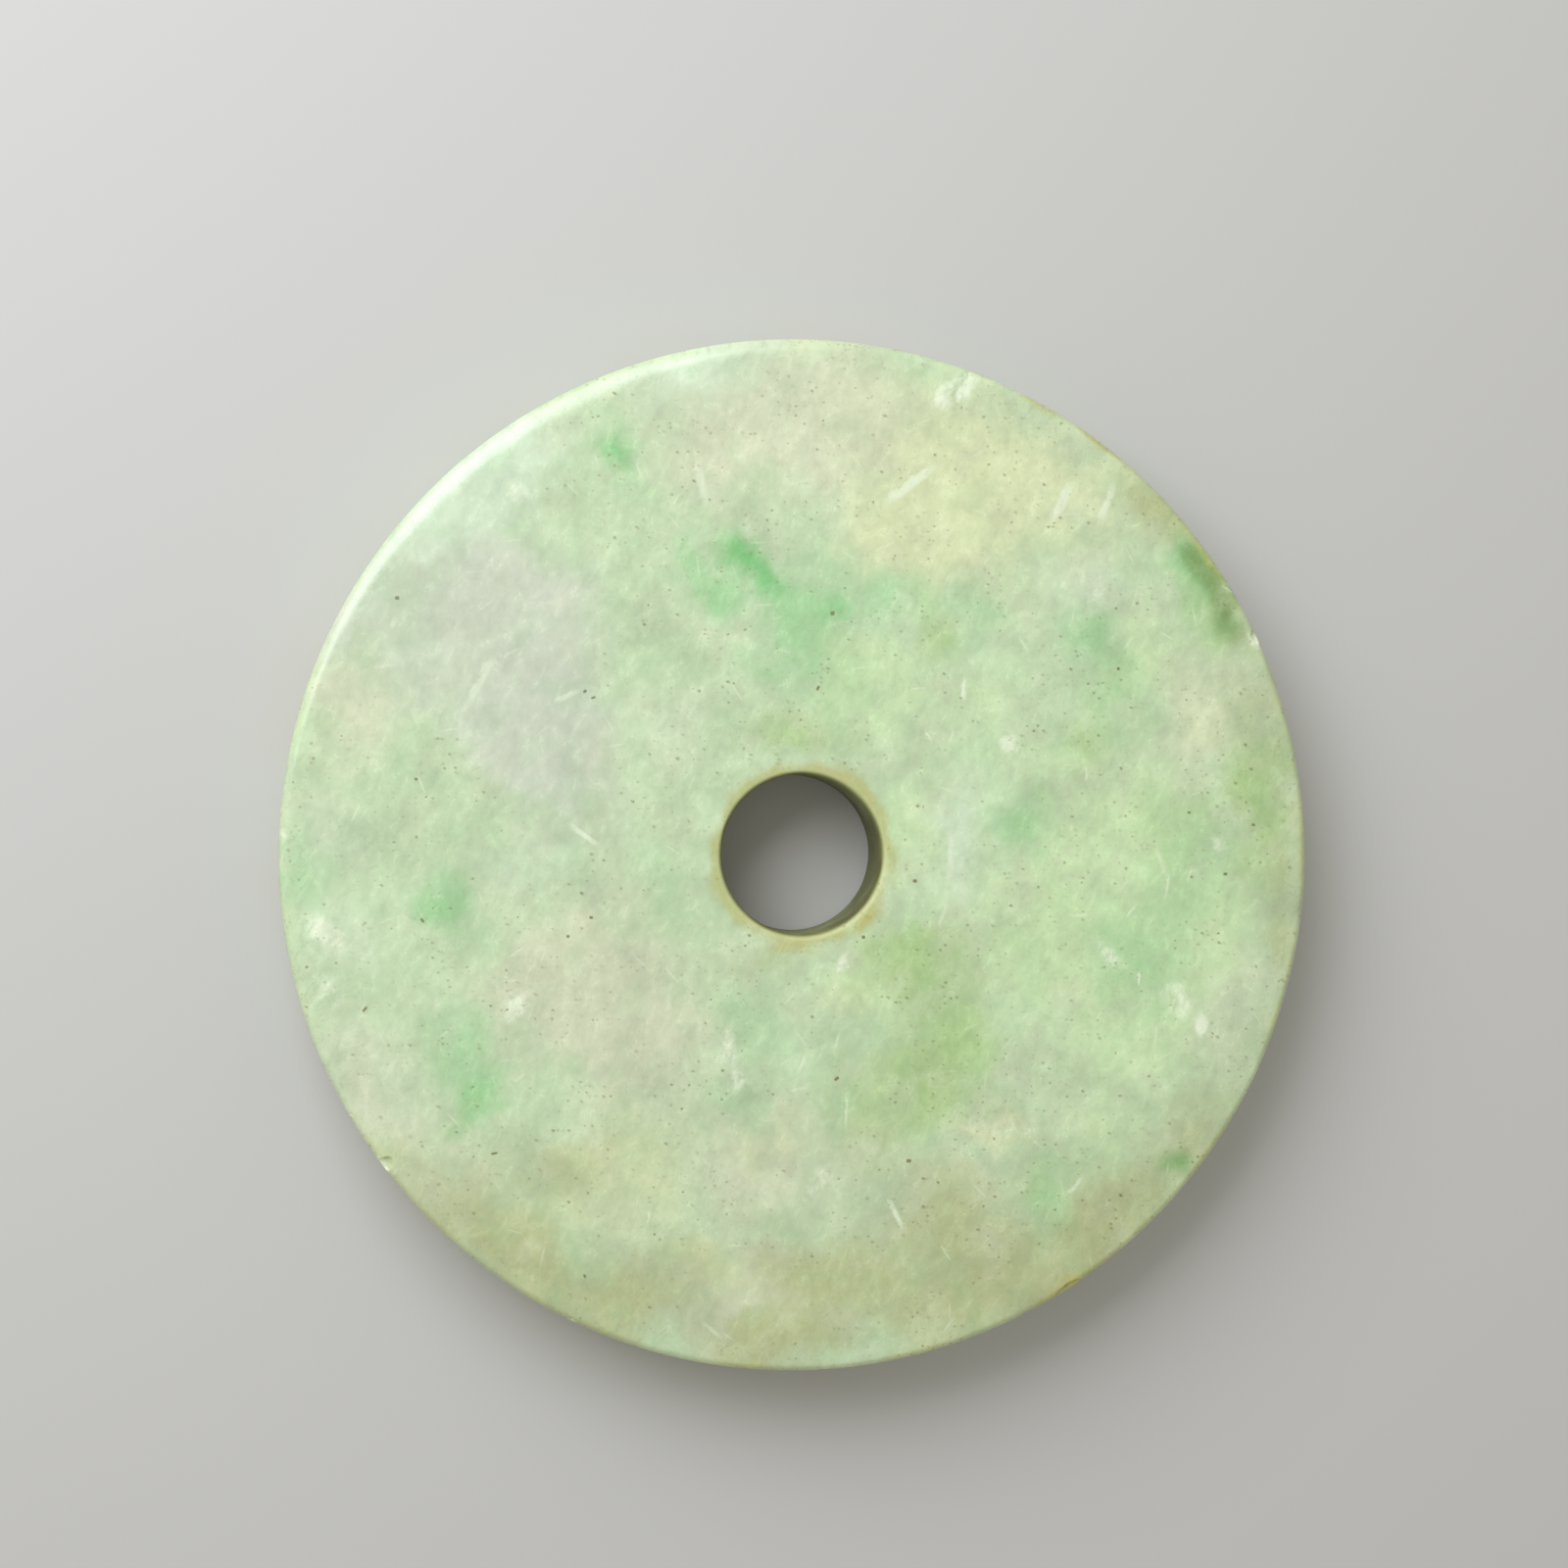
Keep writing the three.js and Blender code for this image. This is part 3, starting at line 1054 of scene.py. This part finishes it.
def paint(colour):
    """A finish colour as a shader socket takes it."""
    return (*colour, 1)


def with_clouds(recipe, curdle, fibres, stone, finish):
    """The stone with its clouds, streaks, stains and woolly white patches, each unevenly dense, and the
    painted sheen, shade and glint that some of these marks carry near the rim.
    """
    wool = recipe.maths("MULTIPLY_ADD", fibres, 3.2, -1.0)
    for name in CLOUDS:
        cloud = recipe.maths("MULTIPLY", recipe.share_of(name), wool if name == "cotton" else curdle)
        stone = recipe.mix(recipe.band(cloud, 0.0, 1.0), stone, paint(getattr(finish, name)))
    return stone


# Where the drift turns the stone a little green or rose: none here, most there, and how much
GREEN_DRIFT = (0.52, 0.3, 0.2)
ROSE_DRIFT = (0.48, 0.7, 0.3)


def with_tints(recipe, drift, stone, finish):
    """The stone with drifts towards green and towards rose, one to three millimetres across."""
    for (none, most, share), tint in ((GREEN_DRIFT, finish.green), (ROSE_DRIFT, finish.rose)):
        tinted = recipe.maths("MULTIPLY", recipe.band(drift, none, most), share)
        stone = recipe.mix(tinted, stone, paint(tint))
    return stone


TUFT_SHARE = 0.17  # how white a tuft of crystals is


def with_felt(recipe, curdle, fibres, stone, finish):
    """The stone with its felt of small crystals: lighter and darker by place, and with tufts of white."""
    broad = recipe.maths("MULTIPLY", recipe.maths("SUBTRACT", curdle, 1.0), finish.mottle)
    fine = recipe.maths("MULTIPLY", recipe.maths("SUBTRACT", fibres, 0.5), finish.grain)
    shade = recipe.maths("ADD", recipe.maths("ADD", broad, fine), 1.0)
    stone = recipe.add("ShaderNodeVectorMath", {0: stone, "Scale": shade}, operation="SCALE").outputs[0]
    dense = recipe.maths("MULTIPLY", fibres, curdle)
    tufts = recipe.maths("MULTIPLY", recipe.band(dense, 0.45, 0.95), TUFT_SHARE)
    return recipe.mix(tufts, stone, paint(finish.cotton))


SMALL_NEEDLE_SPACING = 1.5  # millimetres
SMALL_NEEDLE_MM = (0.6, 0.08, 0.3)  # half its length, width and depth
SMALL_NEEDLE_SHARE = 0.4  # how white it is


def with_needles(recipe, place, ragged, fibres, stone, finish):
    """The stone with its ragged white needles, the large ones in their places and small ones all over."""
    needles = recipe.band(recipe.laths(ragged, WHITE_NEEDLES, NEEDLE_DEPTH), 0.0, 0.95)
    small = recipe.straws(place, SMALL_NEEDLE_SPACING, SMALL_NEEDLE_MM)
    needles = recipe.maths("MULTIPLY_ADD", small, SMALL_NEEDLE_SHARE, needles)
    broken = recipe.maths("MULTIPLY", needles, recipe.maths("MULTIPLY_ADD", fibres, 2.4, -0.3))
    return recipe.mix(recipe.maths("MINIMUM", broken, 0.95), stone, paint(finish.cotton))


PIT_SPACING_MM = (0.27, 0.23, 0.25)
PIT_REACH = 0.56  # the largest pit's radius, in parts of the spacing
PITTED_RING = (4.7, 4.2)  # the ring of pits round the bore, from its outside to where it is full
PIT_SHARE = 0.9  # how brown a pit is


def pit_mask(recipe, place, ragged, fibres, radius, drift):
    """Where the larger dark specks are, and the tiny brown pits. These crowd together and round the bore, and
    leave the pale and the lilac clouds free."""
    fine = recipe.flecks(ragged, PIT_SPACING_MM, PIT_REACH)
    crowd = recipe.maths("MAXIMUM", recipe.band(drift, 0.38, 0.54), recipe.band(radius, *PITTED_RING))
    calm = recipe.maths("ADD", recipe.share_of("pale"), recipe.share_of("lavender"))
    crowd = recipe.maths("MULTIPLY", crowd, recipe.band(calm, 0.9, 0.1))
    torn = recipe.maths("MULTIPLY", fine, recipe.band(fibres, 0.32, 0.52))
    crowded = recipe.maths("MULTIPLY", torn, crowd)
    specks = recipe.band(recipe.laths(place, DARK_SPECKS, NEEDLE_DEPTH), 0.0, 0.6)
    return recipe.maths("MINIMUM", recipe.maths("ADD", specks, crowded), 1.0)


def axis_distance(recipe, place):
    """How far a place is from the Z axis, in millimetres."""
    flat = recipe.stretched(place, (1, 1, TOP_MM * PER_METRE), (0, 0, 0))
    return recipe.add("ShaderNodeVectorMath", {0: flat}, operation="LENGTH").outputs["Value"]


# Stains, and the painted shade on the bore's wall, by their distance from the axis in millimetres, from none
# to full, and how strong they are
OCHRE_RING = (4.8, 4.05)
OCHRE_RING_SHARE = 0.6
SHADED_GRIMY_WALL = (4.08, 3.86)
GRIME_AND_SHADE_SHARE = 0.92
OCHRE_RIM = (24.3, 25.2)
OCHRE_RIM_SHARE = 0.15


def with_stains(recipe, radius, curdle, stone, finish):
    """The stone with its ochre ring round the bore, the grime and painted shade on the bore's wall, and the
    dirty rim.
    """
    uneven = recipe.maths("MULTIPLY_ADD", curdle, 1.5, recipe.maths("SUBTRACT", radius, 1.5))
    ring = recipe.maths("MULTIPLY", recipe.band(uneven, *OCHRE_RING), OCHRE_RING_SHARE)
    stone = recipe.mix(ring, stone, paint(finish.ochre))
    # Grime and painted shade on the bore's wall
    patchy = recipe.maths("MULTIPLY", curdle, GRIME_AND_SHADE_SHARE)
    wall = recipe.maths("MULTIPLY", recipe.band(radius, *SHADED_GRIMY_WALL), patchy)
    stone = recipe.mix(wall, stone, paint(finish.grime_and_shade))
    rim = recipe.maths("MULTIPLY", recipe.band(uneven, *OCHRE_RIM), OCHRE_RIM_SHARE)
    return recipe.mix(rim, stone, paint(finish.ochre))


BUMP_DEPTH = 0.005 * MM
JADE_IOR = 1.66
GLOW_REACH = (0.8, 1.0, 0.6)  # how far red, green and blue light travel inside, in parts of the glow depth
DULL_BORE = (4.3, 4.0)  # millimetres from the axis: polished, and as dull as a pit
DULL_RIM = (23.2, 24.4)
DULL_RIM_SHARE = 0.2


def make_jade(finish):
    """Pale polished jadeite: clouds, green veins, white needles, pits and stains, with light inside it."""
    material = bpy.data.materials.new("polished_jade")
    material.use_nodes = True
    recipe = Recipe(material.node_tree)
    recipe.tree.nodes.clear()
    place = millimetre_place(recipe)

    curdle = recipe.maths("MULTIPLY_ADD", recipe.grain(place, 0.33, 7.0, 0.58), 1.6, 0.2)
    drift = recipe.grain(place, 0.45, 6.0, 0.62)
    combed = recipe.stretched(recipe.turned(place, 68), (1.5, 1.0, 1.2), (0, 0, 0))
    fibres = recipe.grain(combed, 1.5, 5.0, 0.7, 0.3)

    stone = with_clouds(recipe, curdle, fibres, paint(finish.celadon), finish)
    stone = with_tints(recipe, drift, stone, finish)
    stone = with_felt(recipe, curdle, fibres, stone, finish)
    ragged = recipe.vectors("MULTIPLY_ADD", fibres, (0.5, -0.4, 0.0), place)
    ragged = recipe.vectors("ADD", ragged, (-0.25, 0.2, 0.0))
    stone = with_needles(recipe, place, ragged, fibres, stone, finish)
    radius = axis_distance(recipe, place)
    pits = pit_mask(recipe, place, ragged, fibres, radius, drift)
    stone = recipe.mix(recipe.maths("MULTIPLY", pits, PIT_SHARE), stone, paint(finish.pit_brown))
    stone = with_stains(recipe, radius, curdle, stone, finish)

    roughness = recipe.maths("MULTIPLY_ADD", recipe.maths("SUBTRACT", fibres, 0.5), 0.3, finish.roughness)
    rubbed = recipe.maths("MULTIPLY", recipe.band(radius, *DULL_RIM), DULL_RIM_SHARE)
    dull = recipe.maths("ADD", pits, recipe.maths("ADD", recipe.band(radius, *DULL_BORE), rubbed))
    roughness = recipe.maths("MULTIPLY_ADD", dull, 0.3, roughness)
    height = recipe.grain(place, 2.5, 2.0, 0.5)
    bump = recipe.add("ShaderNodeBump", {"Strength": 1.0, "Distance": BUMP_DEPTH, "Height": height})
    shader = recipe.add(
        "ShaderNodeBsdfPrincipled",
        {
            "Base Color": stone,
            "Roughness": roughness,
            "IOR": JADE_IOR,
            "Subsurface Weight": finish.glow,
            "Subsurface Radius": GLOW_REACH,
            "Subsurface Scale": finish.glow_depth,
            "Normal": bump.outputs[0],
        },
        subsurface_method="BURLEY",
    )
    recipe.add("ShaderNodeOutputMaterial", {"Surface": shader.outputs[0]})
    return material


def plain_material(name, colour, roughness):
    """One even, matt colour for the stage."""
    material = bpy.data.materials.new(name)
    material.use_nodes = True
    shader = material.node_tree.nodes["Principled BSDF"]
    shader.inputs["Base Color"].default_value = (*colour, 1)
    shader.inputs["Roughness"].default_value = roughness
    return material


SMOOTH_ANGLE = math.radians(32)  # edges that turn less than this are shaded smooth


class BI_OT_add_disc(bpy.types.Operator):
    """Turn, wear and chip the jade disc, and give it its stone"""

    bl_idname = "bi.add_disc"
    bl_label = "Add jade disc"

    def execute(self, context):
        sizes = context.scene.bi_sizes
        bpy.ops.object.select_all(action="DESELECT")
        disc = add_section(sizes)
        turn_section(disc, sizes.turn_steps)
        for vertex in disc.data.vertices:
            vertex.co = worn_place(vertex.co, sizes)
        knock_chips(disc, sizes)
        paint_clouds(disc, sizes)
        take_up(disc)
        bpy.ops.object.shade_smooth_by_angle(angle=SMOOTH_ANGLE)
        disc.name = "jade_bi"
        disc.data.name = "jade_bi"
        disc.data.materials.clear()
        disc.data.materials.append(make_jade(context.scene.bi_finish))
        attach(disc, BODY)
        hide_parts(CAD_NODE)
        return {"FINISHED"}


KEY_BEARING = math.radians(128)
KEY_ELEVATION = math.radians(42)
KEY_TINT = (0.96, 1.0, 1.06)
SKY_TINT = (1.03, 1.0, 0.94, 1)
FLOOR_SIZE = 12
FLOOR_ROUGHNESS = 0.7
CAMERA_TARGET = Vector((-0.85, 3.38, 5.0)) * MM
SENSOR_WIDTH = 36  # millimetres
NEAREST_SEEN = 10 * MM


def add_key_light(stage):
    """The large soft light at the upper left, aimed at the disc."""
    level = math.cos(KEY_ELEVATION)
    towards = Vector((level * math.cos(KEY_BEARING), level * math.sin(KEY_BEARING), math.sin(KEY_ELEVATION)))
    bpy.ops.object.light_add(type="AREA", location=towards * stage.key_distance)
    key = bpy.context.object
    key.name = "key_light"
    key.data.energy = stage.key_power
    key.data.size = stage.key_size
    key.data.color = KEY_TINT
    key.rotation_euler = towards.to_track_quat("Z", "Y").to_euler()


def add_camera(stage):
    """The camera, nearly above the disc and leaning a little to the left, with +Y up in the picture."""
    lean = math.sin(stage.camera_tilt)
    back = Vector(
        (
            lean * math.cos(stage.camera_bearing),
            lean * math.sin(stage.camera_bearing),
            math.cos(stage.camera_tilt),
        )
    )
    up = (Vector((0, 1, 0)) - back * back.y).normalized()
    axes = Matrix((up.cross(back), up, back)).transposed()
    bpy.ops.object.camera_add()
    camera = bpy.context.object
    camera.matrix_world = Matrix.Translation(CAMERA_TARGET + back * stage.camera_distance) @ axes.to_4x4()
    camera.data.sensor_width = SENSOR_WIDTH
    camera.data.lens = stage.lens
    camera.data.clip_start = NEAREST_SEEN
    bpy.context.scene.camera = camera


class BI_OT_add_stage(bpy.types.Operator):
    """Lay the plain floor, hang the soft light and set up the camera"""

    bl_idname = "bi.add_stage"
    bl_label = "Add stage"

    def execute(self, context):
        stage = context.scene.bi_stage
        bpy.ops.object.select_all(action="DESELECT")
        bpy.ops.mesh.primitive_plane_add(size=FLOOR_SIZE)
        floor = context.object
        floor.name = "floor"
        floor.data.materials.append(plain_material("floor", stage.floor_colour, FLOOR_ROUGHNESS))
        add_key_light(stage)
        world = bpy.data.worlds.new("soft_sky")
        world.use_nodes = True
        light = world.node_tree.nodes["Background"].inputs
        light["Color"].default_value = SKY_TINT
        light["Strength"].default_value = stage.sky
        world.cycles.sampling_method = "NONE"
        context.scene.world = world
        context.scene.view_settings.view_transform = "Standard"
        add_camera(stage)
        return {"FINISHED"}


class BI_PT_panel(bpy.types.Panel):
    """Lists the disc's sizes, finish and stage, and the steps that build them"""

    bl_idname = "BI_PT_panel"
    bl_label = "Jade Bi"
    bl_space_type = "VIEW_3D"
    bl_region_type = "UI"
    bl_category = "Jade Bi"

    def draw(self, context):
        for group in (context.scene.bi_sizes, context.scene.bi_finish, context.scene.bi_stage):
            box = self.layout.box()
            for name in group.bl_rna.properties.keys():
                if name not in ("rna_type", "name"):
                    box.prop(group, name)
        self.layout.operator("bi.add_disc")
        self.layout.operator("bi.add_stage")


CLASSES = (BiSizes, BiFinish, BiStage, BI_OT_add_disc, BI_OT_add_stage, BI_PT_panel)


def register():
    for cls in CLASSES:
        bpy.utils.register_class(cls)
    bpy.types.Scene.bi_sizes = bpy.props.PointerProperty(type=BiSizes)
    bpy.types.Scene.bi_finish = bpy.props.PointerProperty(type=BiFinish)
    bpy.types.Scene.bi_stage = bpy.props.PointerProperty(type=BiStage)


def unregister():
    del bpy.types.Scene.bi_stage
    del bpy.types.Scene.bi_finish
    del bpy.types.Scene.bi_sizes
    for cls in reversed(CLASSES):
        bpy.utils.unregister_class(cls)


def main():
    register()
    bpy.ops.bi.add_disc()
    bpy.ops.bi.add_stage()


if __name__ == "__main__":
    main()
